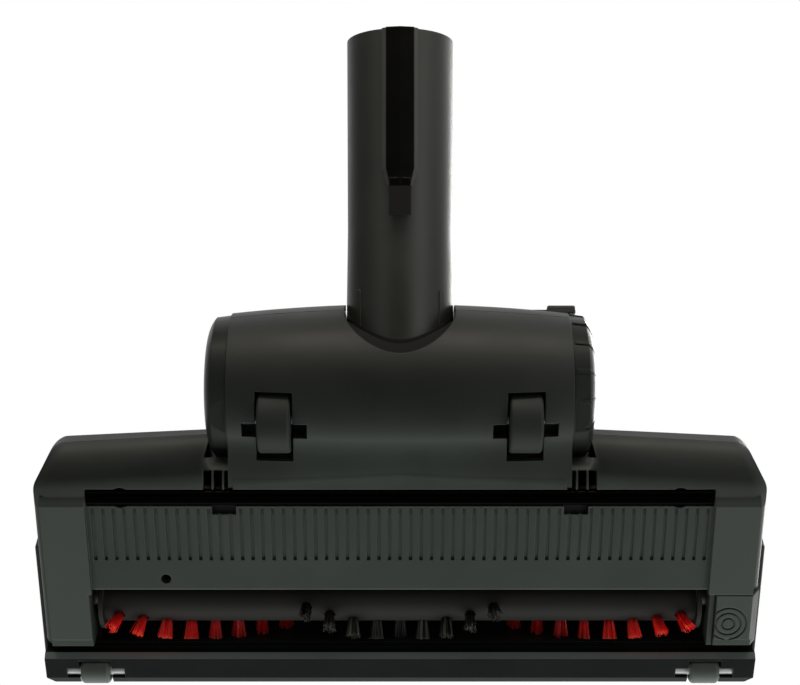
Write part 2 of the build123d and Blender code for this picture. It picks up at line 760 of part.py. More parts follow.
save(neck_tube.part, "neck_tube")


def hook_section(width):
    """Roofed cross-section of the hook bar."""
    Polygon((-width / 2, 18), (-width / 2, hook_radius - 0.9), (0, hook_radius),
            (width / 2, hook_radius - 0.9), (width / 2, 18), align=None)


# Parking hook clipped to the underside of the neck
hook_plane = Plane(origin=axis_point, x_dir=(1, 0, 0), z_dir=(0, neck_cos, neck_sin))
hook_start = neck_length - hook_length
with BuildPart() as parking_hook:
    with BuildSketch(hook_plane.offset(hook_start)):
        hook_section(tongue_width)
    with BuildSketch(hook_plane.offset(hook_start + hook_taper)):
        hook_section(hook_width)
    loft()
    with BuildSketch(hook_plane.offset(hook_start + hook_taper)):
        hook_section(hook_width)
    extrude(amount=hook_length - hook_taper)
    with BuildSketch(hook_plane.offset(hook_start - tongue_length)):
        with Locations((0, hook_radius - 0.9)):
            Rectangle(tongue_width, tongue_thick)
    extrude(amount=tongue_length + 2)
    add(tube_outer, mode=Mode.SUBTRACT)
save(parking_hook.part, "parking_hook")

# Suction regulator slider
slider_axis = Axis(axis_point, (0, cos(radians(slider_angle)), sin(radians(slider_angle))))
with BuildPart() as regulator_slider:
    foot_low = slider_seat + 0.3
    add(slider_box(slider_outer, slider_outer + 11, 4.4, slider_seat + slider_foot,
                   slider_seat + knob_high))
    fillet(regulator_slider.edges().group_by(slider_axis)[-1], knob_round)
    add(slider_box(slider_outer, slider_outer + 18, 5.4, foot_low, foot_low + slider_foot))
    add(slider_box(-62.4, -60.6, 0.9, slider_seat - 3, slider_seat + 1))
save(regulator_slider.part, "regulator_slider")


def tuft(x, turn):
    """One bristle bundle, wider at its tip and leaning outwards near the roller's ends."""
    lean = radians(max(0, tuft_lean * (abs(x) - tuft_lean_from) / 26)) * (1 if x > 0 else -1)
    way = (sin(lean), cos(lean) * cos(radians(turn)), cos(lean) * sin(radians(turn)))
    across = (cos(lean), -sin(lean) * cos(radians(turn)), -sin(lean) * sin(radians(turn)))
    foot_x = x - core_radius * sin(lean) / cos(lean)
    foot = Plane(origin=(foot_x, fwd(brush_f), brush_z), x_dir=across, z_dir=way)
    with BuildPart() as bundle:
        with BuildSketch(foot.offset(core_radius - tuft_sink)):
            RegularPolygon(tuft_base, 6)
        with BuildSketch(foot.offset(tip_radius - 0.3)):
            RegularPolygon(tuft_tip, 6)
        loft(ruled=True)
    return bundle.part


def tuft_rows(places, start, helix):
    """Two opposite chevron rows of bundles around the roller."""
    return [tuft(x, start + turn + helix * abs(x)) for turn in (0, 180) for x in places]


# Bristle roller: red bundles towards the ends, black ones in the middle
tuft_places = [(k - (tuft_count - 1) / 2) * tuft_pitch for k in range(tuft_count)]
red_tufts = tuft_rows([x for x in tuft_places if abs(x) > black_reach], red_start, red_helix)
black_tufts = tuft_rows([x for x in tuft_places if abs(x) < black_reach], black_start, black_helix)
with BuildPart() as brush_core:
    add(rod(-core_half, core_half, brush_f, brush_z, core_radius))
    for s in (-1, 1):
        ends = sorted((s * (core_half - 1.8), s * core_half))
        add(rod(*ends, brush_f, brush_z, core_radius + 3))
    add(rod(-core_half, core_half, brush_f, brush_z, brush_shaft_radius), mode=Mode.SUBTRACT)
    add(red_tufts + black_tufts, mode=Mode.SUBTRACT)
save(brush_core.part, "brush_core")
save(Compound(children=red_tufts), "red_bristles")
save(Compound(children=black_tufts), "black_bristles")

save(rod(-131, far_bearing_x + 2.6, brush_f, brush_z, brush_shaft_radius), "brush_shaft")
for x0, name in ((far_bearing_x, "brush_bush_left"), (-129.2, "brush_bush_right")):
    with BuildPart() as bush:
        add(rod(x0, x0 + bearing_width, brush_f, brush_z, bush_radius))
        add(rod(x0, x0 + bearing_width, brush_f, brush_z, brush_shaft_radius + running_gap),
            mode=Mode.SUBTRACT)
    save(bush.part, name)


def pulley(f, z, radius, bore):
    """Flanged belt pulley."""
    with BuildPart() as wheel:
        add(rod(belt_x - 1.2, belt_x + belt_width + 1, f, z, radius))
        for x0 in (belt_x - 1.2, belt_x + belt_width + 0.2):
            add(rod(x0, x0 + 0.8, f, z, radius + flange_rise))
        add(rod(belt_x - 2, belt_x + belt_width + 2, f, z, bore), mode=Mode.SUBTRACT)
    return wheel.part


save(pulley(brush_f, brush_z, brush_pulley_radius, brush_shaft_radius), "brush_pulley")
save(pulley(turbine_f, turbine_z, turbine_pulley_radius, turbine_shaft_radius), "turbine_pulley")

# Flat belt around both pulleys
belt_rings = []
for grow in (belt_gap + belt_thick, belt_gap):
    with BuildPart() as ring:
        with BuildSketch(Plane.YZ.offset(belt_x)):
            with BuildLine():
                CenterArc((fwd(brush_f), brush_z), brush_pulley_radius + grow, 0, 360)
                CenterArc((fwd(turbine_f), turbine_z), turbine_pulley_radius + grow, 0, 360)
            make_hull()
        extrude(amount=belt_width)
    belt_rings.append(ring.part)
with BuildPart() as drive_belt:
    add(belt_rings[0])
    add(belt_rings[1], mode=Mode.SUBTRACT)
save(drive_belt.part, "drive_belt")

# Turbine rotor, shaft and bearings
with BuildPart() as turbine_rotor:
    add(rod(-rotor_half, rotor_half, turbine_f, turbine_z, 5))
    add(rod(-0.8, 0.8, turbine_f, turbine_z, rotor_radius))
    for k in range(rotor_blades):
        angle = 360 / rotor_blades * k
        with BuildSketch(cross(-rotor_half, turbine_f, turbine_z)):
            with PolarLocations(0, 1, start_angle=angle):
                with Locations((rotor_radius / 2 + 1.8, 1.6)):
                    Rectangle(rotor_radius - 4.4, 1.4, rotation=14)
        extrude(amount=2 * rotor_half)
    add(rod(-rotor_half, rotor_half, turbine_f, turbine_z, turbine_shaft_radius), mode=Mode.SUBTRACT)
save(turbine_rotor.part, "turbine_rotor")
save(rod(-28.5, far_bearing_x + 2.6, turbine_f, turbine_z, turbine_shaft_radius), "turbine_shaft")
bearings = []
for x0 in (-plate_inner - bearing_width, plate_inner, far_bearing_x):
    with BuildPart() as bearing:
        add(rod(x0, x0 + bearing_width, turbine_f, turbine_z, bearing_radius))
        add(rod(x0, x0 + bearing_width, turbine_f, turbine_z, turbine_shaft_radius + running_gap),
            mode=Mode.SUBTRACT)
    bearings.append(bearing.part)
save(Compound(children=bearings), "turbine_bearings")

# Wheels, rollers and their axles
for s, name in ((1, "left"), (-1, "right")):
    x = s * rear_wheel_x
    half = rear_wheel_width / 2
    with BuildPart() as wheel:
        add(rod(x - half, x + half, rear_wheel_f, rear_wheel_radius, rear_wheel_radius))
        fillet(wheel.edges().filter_by(GeomType.CIRCLE), 1.2)
        add(rod(x - half, x + half, rear_wheel_f, rear_wheel_radius, rear_axle_radius + running_gap),
            mode=Mode.SUBTRACT)
    save(wheel.part, f"rear_wheel_{name}")
    reach = rear_axle_length / 2
    save(rod(x - reach, x + reach, rear_wheel_f, rear_wheel_radius, rear_axle_radius), f"rear_axle_{name}")
    x = s * roller_x
    half = roller_width / 2
    with BuildPart() as roller:
        add(rod(x - half, x + half, roller_f, roller_radius, roller_radius))
        fillet(roller.edges().filter_by(GeomType.CIRCLE), 1.6)
        add(rod(x - half, x + half, roller_f, roller_radius, roller_axle_radius + running_gap),
            mode=Mode.SUBTRACT)
    save(roller.part, f"front_roller_{name}")
    reach = roller_axle_length / 2
    save(rod(x - reach, x + reach, roller_f, roller_radius, roller_axle_radius), f"front_axle_{name}")

# Housing screws under the lip
screws = []
for s in (-1, 1):
    with BuildPart() as screw:
        add(post(s * screw_x, screw_f, screw_low - screw_head_high, screw_low, screw_head_radius))
        add(post(s * screw_x, screw_f, screw_low, screw_high, screw_radius))
        with BuildSketch(Plane.XY.offset(screw_low - screw_head_high)):
            with Locations((s * screw_x, fwd(screw_f))):
                Rectangle(4.2, 0.9)
                Rectangle(0.9, 4.2)
        extrude(amount=1.4, mode=Mode.SUBTRACT)
    screws.append(screw.part)
save(Compound(children=screws), "housing_screws")
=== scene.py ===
# %% [markdown]
# # A turbine floor brush, seen from below
# The solids of the brush head are finished, so this lesson dresses them: it sets a camera and soft light, gives
# every moulding, axle and wheel its finish, softens two joins, and swaps the plain bristle bundles for real tufts.
# The frame is loaded first. Each solid is an object at the origin, in metres.

# %% Load the frame
import random
from math import cos, pi, radians, sin, sqrt

import bmesh
import bpy
from mathutils import Matrix, Vector


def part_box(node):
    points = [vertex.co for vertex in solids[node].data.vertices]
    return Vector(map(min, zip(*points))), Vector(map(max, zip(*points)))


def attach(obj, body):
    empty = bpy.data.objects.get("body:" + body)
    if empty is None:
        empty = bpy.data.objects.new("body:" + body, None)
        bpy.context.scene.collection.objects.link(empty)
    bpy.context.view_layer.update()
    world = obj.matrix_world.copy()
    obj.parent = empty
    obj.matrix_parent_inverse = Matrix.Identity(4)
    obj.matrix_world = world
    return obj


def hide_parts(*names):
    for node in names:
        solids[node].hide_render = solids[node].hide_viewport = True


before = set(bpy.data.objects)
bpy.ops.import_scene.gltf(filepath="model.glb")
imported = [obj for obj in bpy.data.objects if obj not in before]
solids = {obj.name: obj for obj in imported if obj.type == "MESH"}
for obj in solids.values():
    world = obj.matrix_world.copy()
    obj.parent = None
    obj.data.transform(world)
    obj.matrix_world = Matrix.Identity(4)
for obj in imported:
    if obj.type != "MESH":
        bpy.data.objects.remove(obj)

scene = bpy.context.scene
scene.view_settings.view_transform = "Standard"
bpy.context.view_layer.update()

# %% [markdown]
# ## The camera
# The picture was taken from under the head, a little from behind, with the neck pointing up. A camera could be
# aimed with a constraint, but three axis vectors say the same thing exactly: where right, up and back point in
# the room.

# %% Camera below the sole
eye = Vector((0.0, 0.2203, -0.5030))
view_tilt = radians(21.33)
focal_length = 67.5
film_width = 36.0
nearest_seen = 0.01
picture_right = Vector((-1, 0, 0))
picture_up = Vector((0, cos(view_tilt), sin(view_tilt)))
picture_back = Vector((0, sin(view_tilt), -cos(view_tilt)))

lens = bpy.data.cameras.new("sole_camera")
lens.lens = focal_length
lens.sensor_width = film_width
lens.clip_start = nearest_seen
camera = bpy.data.objects.new("sole_camera", lens)
camera.matrix_world = (
    Matrix.Translation(eye) @ Matrix((picture_right, picture_up, picture_back)).transposed().to_4x4()
)
scene.collection.objects.link(camera)
scene.camera = camera
print("camera is", round(eye.length, 3), "m from the origin")

# %% [markdown]
# ## Small helpers
# Every finish below is a chain of nodes, and a chain is easier to read as a formula. So one helper makes any node
# and fills its sockets, and the others are the few steps that come again and again: arithmetic, vectors, a change
# of range and a blend of two colours. Each returns the socket with its result. The last helper turns a finished
# bmesh into an object of the scene.


# %% Node and mesh helpers
def put(tree, kind, settings=None, **sockets):
    """Add a node; settings are its properties, sockets its inputs (a value, or a socket to link from)."""
    made = tree.nodes.new(kind)
    for name, value in (settings or {}).items():
        setattr(made, name, value)
    for name, value in sockets.items():
        entry = made.inputs[int(name[1:])] if name[1:].isdigit() else made.inputs[name.replace("_", " ")]
        if isinstance(value, bpy.types.NodeSocket):
            tree.links.new(value, entry)
        else:
            entry.default_value = value
    return made


def maths(tree, operation, first, second=0.0):
    """One arithmetic step on one or two values."""
    return put(tree, "ShaderNodeMath", {"operation": operation}, _0=first, _1=second).outputs[0]


def vector_maths(tree, operation, first, second=(0, 0, 0), **more):
    """One step on vectors; a length or a dot product gives a value, all others a vector."""
    step = put(tree, "ShaderNodeVectorMath", {"operation": operation}, _0=first, _1=second, **more)
    return step.outputs["Value" if operation in ("LENGTH", "DOT_PRODUCT") else "Vector"]


def remap(tree, value, before, after=(0.0, 1.0), smooth=False):
    """Carry a value from one range to another, held at both ends."""
    return put(tree, "ShaderNodeMapRange", {"interpolation_type": "SMOOTHSTEP" if smooth else "LINEAR"},
               Value=value, From_Min=before[0], From_Max=before[1],
               To_Min=after[0], To_Max=after[1]).outputs["Result"]


def mix_colours(tree, share, first, second):
    """Blend two colours: the first where share is 0, the second where it is 1."""
    return put(tree, "ShaderNodeMix", {"data_type": "RGBA"}, _0=share, _6=first, _7=second).outputs[2]


def apart(tree, vector):
    """The X, Y and Z sockets of a vector."""
    return put(tree, "ShaderNodeSeparateXYZ", Vector=vector).outputs


def distance_from_line(tree, coords, y, z):
    """How far a point lies from the line along X at that Y and Z: the line goes to zero and X is flattened."""
    flat = put(tree, "ShaderNodeMapping", Vector=coords, Scale=(0, 1, 1), Location=(0, -y, -z))
    return vector_maths(tree, "LENGTH", flat.outputs[0])


def new_finish(name):
    """A material with an empty principled shader; returns the material, its tree and the shader."""
    finish = bpy.data.materials.new(name)
    finish.use_nodes = True
    tree = finish.node_tree
    return finish, tree, tree.nodes["Principled BSDF"]


def grey(level, tint=(1, 1, 1)):
    """A near-neutral colour of one level with a slight tint."""
    return tuple(level * t for t in tint) + (1.0,)


def as_object(name, shape, finish):
    """An object of the scene that is made from a bmesh and wears one finish."""
    mesh = bpy.data.meshes.new(name)
    shape.to_mesh(mesh)
    shape.free()
    mesh.materials.append(finish)
    made = bpy.data.objects.new(name, mesh)
    scene.collection.objects.link(made)
    return made


# %% [markdown]
# ## White surroundings
# The head was photographed in a white tent. A huge white sheet behind it would do, but the world can be the tent:
# camera rays see plain white. What glossy rays see is drawn around the X axis, because the barrel, the roller and
# the bar all lie along X. The angle runs from straight down (zero) to the rear horizon (a quarter turn) and so on,
# and a colour ramp turns it into brightness: dark below, where the camera stands, and a warm bright band at the
# rear. The tent's side walls are bright again, most of all on the picture's right, and they draw the soft flanks
# of the neck.

# %% The tent
tent_stops = [(-180, 0.50), (-115, 1.00), (-85, 1.00), (-60, 0.60), (-40, 0.22), (-22, 0.08), (5, 0.03),
              (34, 0.02), (48, 0.10), (62, 0.55), (76, 1.00), (92, 1.00), (108, 0.42), (124, 0.42), (140, 0.85),
              (180, 0.50)]
warm_from, warm_to = 40, 140
warm_white = (1.0, 0.95, 0.87)
cool_white = (0.97, 1.0, 1.0)
side_starts, side_full, side_ends = 0.30, 0.65, 0.92
side_end_level = 0.20
gain_reach = 0.9
right_gain, left_gain = 1.9, 0.4
soft_strength = 0.08
mirror_strength = 1.35

world = bpy.data.worlds.new("white_tent")
scene.world = world
world.use_nodes = True
sky = world.node_tree
way = apart(sky, put(sky, "ShaderNodeTexCoord").outputs["Generated"])
around = maths(sky, "ARCTAN2", way["Y"], maths(sky, "MULTIPLY", way["Z"], -1.0))
tent = put(sky, "ShaderNodeValToRGB", Fac=remap(sky, around, (-pi, pi)))
ramp = tent.color_ramp
ramp.elements.remove(ramp.elements[1])
for angle, level in tent_stops:
    stop = ramp.elements.new((angle + 180) / 360) if angle > -180 else ramp.elements[0]
    stop.color = grey(level, warm_white if warm_from < angle < warm_to else cool_white)
sideways = maths(sky, "ABSOLUTE", way["X"])
side_share = remap(sky, sideways, (side_starts, side_full), smooth=True)
side_level = remap(sky, sideways, (side_full, side_ends), (1.0, side_end_level))
side_gain = remap(sky, way["X"], (-gain_reach, gain_reach), (right_gain, left_gain))
side_wall = maths(sky, "MULTIPLY", side_level, side_gain)
mirrored = mix_colours(sky, side_share, tent.outputs["Color"], side_wall)

rays = put(sky, "ShaderNodeLightPath").outputs
mirror_rays = maths(sky, "MAXIMUM", rays["Is Glossy Ray"], rays["Is Transmission Ray"])
soft_light = put(sky, "ShaderNodeBackground", Color=(1.0, 0.99, 0.97, 1), Strength=soft_strength)
reflected = put(sky, "ShaderNodeBackground", Color=mirrored, Strength=mirror_strength)
plain_white = put(sky, "ShaderNodeBackground", Color=(1, 1, 1, 1), Strength=1.0)
lit_or_mirrored = put(sky, "ShaderNodeMixShader", _0=mirror_rays,
                      _1=soft_light.outputs[0], _2=reflected.outputs[0])
seen = put(sky, "ShaderNodeMixShader", _0=rays["Is Camera Ray"],
           _1=lit_or_mirrored.outputs[0], _2=plain_white.outputs[0])
sky.links.new(seen.outputs[0], sky.nodes["World Output"].inputs["Surface"])
print("tent nodes:", len(sky.nodes))

# %% [markdown]
# ## The floor
# From above, the head stands on a pale floor and throws a soft shadow. From below, the camera has to look through
# that floor. The floor is therefore one-sided: its back face is transparent, and only camera rays meet it, so it
# neither darkens the sole nor shows up in the plastic. A faint glow of its own keeps it pale where no lamp reaches.

# %% Pale floor
floor_half = 3.0
floor_level = 0.42
floor_glow = 0.44
floor_finish, tree, shader = new_finish("pale_floor")
shader.inputs["Base Color"].default_value = grey(floor_level)
shader.inputs["Roughness"].default_value = 0.9
shader.inputs["Emission Color"].default_value = grey(1.0)
shader.inputs["Emission Strength"].default_value = floor_glow
facing = put(tree, "ShaderNodeNewGeometry")
clear = put(tree, "ShaderNodeBsdfTransparent")
one_sided = put(tree, "ShaderNodeMixShader", _0=facing.outputs["Backfacing"],
                _1=shader.outputs[0], _2=clear.outputs[0])
tree.links.new(one_sided.outputs[0], tree.nodes["Material Output"].inputs["Surface"])

floor_shape = bmesh.new()
bmesh.ops.create_grid(floor_shape, x_segments=1, y_segments=1, size=floor_half)
floor = as_object("pale_floor", floor_shape, floor_finish)
floor.visible_diffuse = floor.visible_glossy = floor.visible_transmission = floor.visible_shadow = False

# %% [markdown]
# ## Lamps
# Dark plastic shows its shape through reflections. A warm strip behind the barrel draws the long soft band across
# it. The key lamp is a cool panel low in front: it lights the sole, the valley and the tufts at a slant and leaves
# the rear of the barrel dark. It is kept out of reflections, because the tent already draws those. A wide panel
# above lights the hood for a look from the top.


# %% Soft panels
def panel(name, place, target, width, height, watts, colour):
    """A rectangular soft lamp aimed at a point."""
    lamp = bpy.data.lights.new(name, "AREA")
    lamp.shape = "RECTANGLE"
    lamp.size = width
    lamp.size_y = height
    lamp.energy = watts
    lamp.color = colour
    holder = bpy.data.objects.new(name, lamp)
    holder.location = place
    holder.rotation_euler = (Vector(target) - Vector(place)).to_track_quat("-Z", "Y").to_euler()
    scene.collection.objects.link(holder)
    return holder


panel("warm_strip", place=(0.0, 1.05, 0.08), target=(0, 0, 0.03), width=1.1, height=0.20, watts=4.0,
      colour=(1.0, 0.93, 0.82))
front_key = panel("front_key", place=(0.0, -1.62, -0.88), target=(0, -0.05, 0.02), width=3.2, height=1.5,
                  watts=48.0, colour=(0.95, 1.0, 0.97))
front_key.visible_glossy = False
panel("hood_panel", place=(-0.45, -0.55, 1.05), target=(0, -0.02, 0.04), width=0.9, height=0.7, watts=14.0,
      colour=(1.0, 0.98, 0.95))

# %% [markdown]
# ## Where a finish changes
# Nearly all of the head is one dark plastic, but it doesn't look the same everywhere. Each function here answers
# one question about a point with a number from 0 to 1. Is it on a glide pad, within three millimetres of the floor,
# where it is rubbed paler? Is it on the sole or on the barrel, which is darkened as painted shade? Does its face
# slant down to the rear, where a painted highlight goes? Is it inside a box, such as a notch painted dark as
# painted shade or a groove painted paler as painted light? The last function bends the shading: the rear wall of
# the head is slightly bowed and runs into the sole in one wide soft round, so its normals lean down.

# %% Masks
drum_low, drum_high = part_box("end_cap_left")
tilt_y = (drum_low.y + drum_high.y) / 2
tilt_z = 0.036
pad_heights = (0.0034, 0.0026)
barrel_fade = 0.014
rearward_normals = (0.45, 0.60)
slanted_normals = (-0.35, -0.5)
painted_shade_fade = 0.0004
barrel_sides = (0.0715, 0.0765)
rear_wall = (-0.046, -0.040)
wall_heights = (0.009, 0.035)
wall_droop = (1.9, 0.35)


def on_pad(tree, coords):
    """1 on faces close to the floor."""
    return remap(tree, apart(tree, coords)["Z"], pad_heights)


def sole_to_shaded_barrel(tree, coords, barrel_shade_share):
    """1 on the sole, falling towards the barrel's axis and behind it to the share that paints shade on the barrel.
    """
    return remap(tree, apart(tree, coords)["Y"], (tilt_y - barrel_fade, tilt_y), (1.0, barrel_shade_share), smooth=True)


def slants_rearward(tree, normal):
    """1 on slanted faces that look down and to the rear."""
    facing = apart(tree, normal)
    rearward = remap(tree, facing["Y"], rearward_normals)
    return maths(tree, "MULTIPLY", rearward, remap(tree, facing["Z"], slanted_normals))


def near_barrel_axis(tree, coords, distance):
    """1 nearer to the barrel's axis than a distance."""
    away = distance_from_line(tree, coords, tilt_y, tilt_z)
    return remap(tree, away, (distance + painted_shade_fade, distance))


def within(tree, coords, low, high):
    """1 inside a box and its mirror image across X, and 0 outside."""
    place = apart(tree, coords)
    beside = maths(tree, "ABSOLUTE", place["X"])
    folded = put(tree, "ShaderNodeCombineXYZ", X=beside, Y=place["Y"], Z=place["Z"]).outputs[0]
    from_low = vector_maths(tree, "SUBTRACT", folded, low)
    to_high = vector_maths(tree, "SUBTRACT", high, folded)
    margins = apart(tree, vector_maths(tree, "MINIMUM", from_low, to_high))
    least = maths(tree, "MINIMUM", maths(tree, "MINIMUM", margins["X"], margins["Y"]), margins["Z"])
    return maths(tree, "GREATER_THAN", least, 0.0)


def drooping(tree, coords, normal):
    """The normal, leaned towards the floor on the head's rear wall beside the barrel."""
    place = apart(tree, coords)
    off_barrel = remap(tree, maths(tree, "ABSOLUTE", place["X"]), barrel_sides)
    rear_edge = maths(tree, "MULTIPLY", off_barrel, remap(tree, place["Y"], rear_wall))
    bend = maths(tree, "MULTIPLY", remap(tree, place["Z"], wall_heights, wall_droop), rear_edge)
    downwards = vector_maths(tree, "SCALE", (0, 0, -1), Scale=bend)
    return vector_maths(tree, "NORMALIZE", vector_maths(tree, "ADD", normal, downwards))


print("barrel's axis at", round(tilt_y, 4), round(tilt_z, 4))

# %% [markdown]
# ## Moulded plastic
# One function makes all the plastics. A fine noise roughens the skin, a broad one shifts colour and gloss a little
# as handling does, and a bevel node rounds hard edges in the shading. Where that rounded normal leaves the true
# one, there is an edge, and edges get the paler, rubbed look that real mouldings have. The masks above then change
# the colour where a finish asks for it. Near the barrel's axis, on the drum inside the barrel, the colour is
# painted black and rough as painted shade.

# %% Plastic finish
handling_scale = 38.0
handling_shift = (0.82, 1.2)
handling_range = (0.3, 0.7)
gloss_shift = (-0.05, 0.06)
edge_agreement = (0.998, 0.90)
painted_shade_level = 0.003
painted_shade_rough = 0.9


def moulded(name, level, tint, rough, grain_size, grain_depth, edge_level, edge_radius=0.0006, specular=0.31,
            glide_level=None, soft_rear=False, painted_shade_within=None, rear_painted_highlight=None, barrel_shade_share=None,
            box_levels=()):
    """Dark moulded plastic: colour level and tint, roughness, skin grain and the level of its edges.

    glide_level is the level of gliding faces, rear_painted_highlight the paler level of slanted faces that look to
    the rear, a painted highlight, and barrel_shade_share the part of the level that the barrel keeps, which paints
    shade on the barrel.
    box_levels holds boxes, each with two corners and its own level. painted_shade_within paints shade: it blackens
    what lies nearer to the barrel's axis than that distance, and soft_rear shades the head's rear edge as the wide
    round it is."""
    finish, tree, shader = new_finish(name)
    coords = put(tree, "ShaderNodeTexCoord").outputs["Object"]
    handling = put(tree, "ShaderNodeTexNoise", Vector=coords, Scale=handling_scale, Detail=4.0,
                   Roughness=0.6).outputs["Fac"]
    grain = put(tree, "ShaderNodeTexNoise", Vector=coords, Scale=1.0 / grain_size, Detail=2.0, Roughness=0.55)
    normal = put(tree, "ShaderNodeBevel", {"samples": 4}, Radius=edge_radius).outputs[0]
    true_normal = put(tree, "ShaderNodeNewGeometry").outputs["Normal"]
    edge = remap(tree, vector_maths(tree, "DOT_PRODUCT", normal, true_normal), edge_agreement)

    darker, paler = (grey(level * shift, tint) for shift in handling_shift)
    colour = mix_colours(tree, handling, darker, paler)
    colour = mix_colours(tree, edge, colour, grey(edge_level, tint))
    if glide_level:
        colour = mix_colours(tree, on_pad(tree, coords), colour, grey(glide_level, tint))
    # The barrel's colour is scaled down here: painted shade.
    if barrel_shade_share:
        colour = vector_maths(tree, "SCALE", colour, Scale=sole_to_shaded_barrel(tree, coords, barrel_shade_share))
    # Each box paints its own level: painted shade in the notches, painted light in the grooves and on the tongue.
    for low, high, box_level in box_levels:
        colour = mix_colours(tree, within(tree, coords, low, high), colour, grey(box_level, tint))
    # Slanted faces that look down and to the rear are painted paler: a painted highlight.
    if rear_painted_highlight:
        colour = mix_colours(tree, slants_rearward(tree, true_normal), colour, grey(rear_painted_highlight, tint))
    gloss = remap(tree, handling, handling_range, (rough + gloss_shift[0], rough + gloss_shift[1]))
    # Near the barrel's axis the colour is painted black and rough: painted shade on the drum.
    if painted_shade_within:
        painted_shade = near_barrel_axis(tree, coords, painted_shade_within)
        colour = mix_colours(tree, painted_shade, colour, grey(painted_shade_level, tint))
        gloss = put(tree, "ShaderNodeMix", _0=painted_shade, _2=gloss, _3=painted_shade_rough).outputs[0]
    if soft_rear:
        normal = drooping(tree, coords, normal)
    skin = put(tree, "ShaderNodeBump", Strength=0.5, Distance=grain_depth, Height=grain.outputs["Fac"],
               Normal=normal)
    tree.links.new(colour, shader.inputs["Base Color"])
    tree.links.new(gloss, shader.inputs["Roughness"])
    tree.links.new(skin.outputs[0], shader.inputs["Normal"])
    shader.inputs["Specular IOR Level"].default_value = specular
    return finish


# %% [markdown]
# ## The plastics
# The numbers in each row are the colour's level and tint, the roughness, the size and depth of the grain, and the
# level of the edges. The sole has two boxes of its own: the notches are painted dark as painted shade, and the
# floors of the grooves between the ribs are painted paler as painted light. The hook has one for its tongue,
# painted paler as a painted highlight. The skins and the neck's foot, made further down, get finishes without pale
# edges, so that their borders don't show.

# %% All plastic finishes
# The notches' floors are painted near black: painted shade.
notch_painted_shade_box = ((0.0620, tilt_y - 0.0390, 0.0046), (0.0716, tilt_y - 0.0352, 0.0120), 0.0015)
# The groove floors between the ribs are painted paler: painted light against their shade.
groove_painted_light_box = ((0.0, tilt_y - 0.0586, 0.0043), (0.1195, tilt_y - 0.0392, 0.0050), 0.085)
# The hook's tongue is painted paler: a painted highlight on its bent end.
tongue_painted_highlight_box = ((-1.0, -1.0, -1.0), (1.0, 0.0690, 1.0), 0.034)
drum_reach = 0.0268
no_edges = 0.00001
# The share of the sole's level that the barrel keeps, as painted shade.
barrel_painted_shade = 0.42
green_grey = (0.88, 1.0, 0.89)
blue_black = (0.86, 1.0, 0.98)
warm_black = (1.05, 1.0, 0.94)
neck_grey = (0.96, 1.0, 0.86)
plastics = [
    moulded("sole_satin", 0.052, green_grey, 0.46, 0.0006, 0.00004, 0.068, specular=0.27, glide_level=0.074,
            soft_rear=True, barrel_shade_share=barrel_painted_shade, box_levels=[notch_painted_shade_box, groove_painted_light_box]),
    moulded("join_satin", 0.052, green_grey, 0.46, 0.0006, 0.00004, 0.052, specular=0.27, edge_radius=no_edges,
            barrel_shade_share=barrel_painted_shade),
    moulded("hood_satin", 0.023, green_grey, 0.44, 0.0007, 0.00005, 0.038),
    moulded("bar_satin", 0.016, blue_black, 0.34, 0.0005, 0.00003, 0.056, specular=0.05, rear_painted_highlight=0.38),
    moulded("cap_satin", 0.028, green_grey, 0.32, 0.0005, 0.00002, 0.038, specular=0.12),
    moulded("neck_satin", 0.044, neck_grey, 0.42, 0.0006, 0.00004, 0.040, specular=0.37, painted_shade_within=drum_reach),
    moulded("foot_satin", 0.044, neck_grey, 0.42, 0.0006, 0.00004, 0.044, specular=0.37, edge_radius=no_edges,
            painted_shade_within=drum_reach),
    # Paler than the neck: a painted highlight on the hook's flanks.
    moulded("flank_painted_highlight", 0.085, neck_grey, 0.36, 0.0006, 0.00003, 0.10, specular=0.40),
    moulded("knob_satin", 0.017, warm_black, 0.38, 0.0006, 0.00004, 0.038),
    moulded("lip_gloss", 0.0006, warm_black, 0.14, 0.0012, 0.00001, 0.0010, specular=0.02),
    moulded("hook_gloss", 0.005, warm_black, 0.20, 0.0012, 0.00002, 0.038, specular=0.10, box_levels=[tongue_painted_highlight_box]),
    moulded("roller_grey", 0.030, warm_black, 0.55, 0.0008, 0.00004, 0.038, specular=0.12),
    moulded("pale_nylon", 0.30, warm_black, 0.50, 0.0006, 0.00003, 0.36),
    moulded("inner_grey", 0.045, blue_black, 0.50, 0.0006, 0.00004, 0.064),
    moulded("tyre_rubber", 0.020, green_grey, 0.60, 0.0004, 0.00006, 0.028),
    moulded("roller_rubber", 0.13, green_grey, 0.50, 0.0004, 0.00005, 0.08),
    moulded("belt_rubber", 0.008, warm_black, 0.70, 0.0003, 0.00006, 0.013),
]
finishes = {finish.name: finish for finish in plastics}
print("plastic finishes:", len(finishes))

# %% [markdown]
# ## Bright steel
# The four axles, the shafts and the screws are plain drawn steel. Fine lines run along a drawn rod, so the noise is
# stretched along X with a Mapping node before it drives roughness and bump. Thin steel in a dark slot has little
# to mirror, so it is shaded as partly metallic and keeps some plain grey.

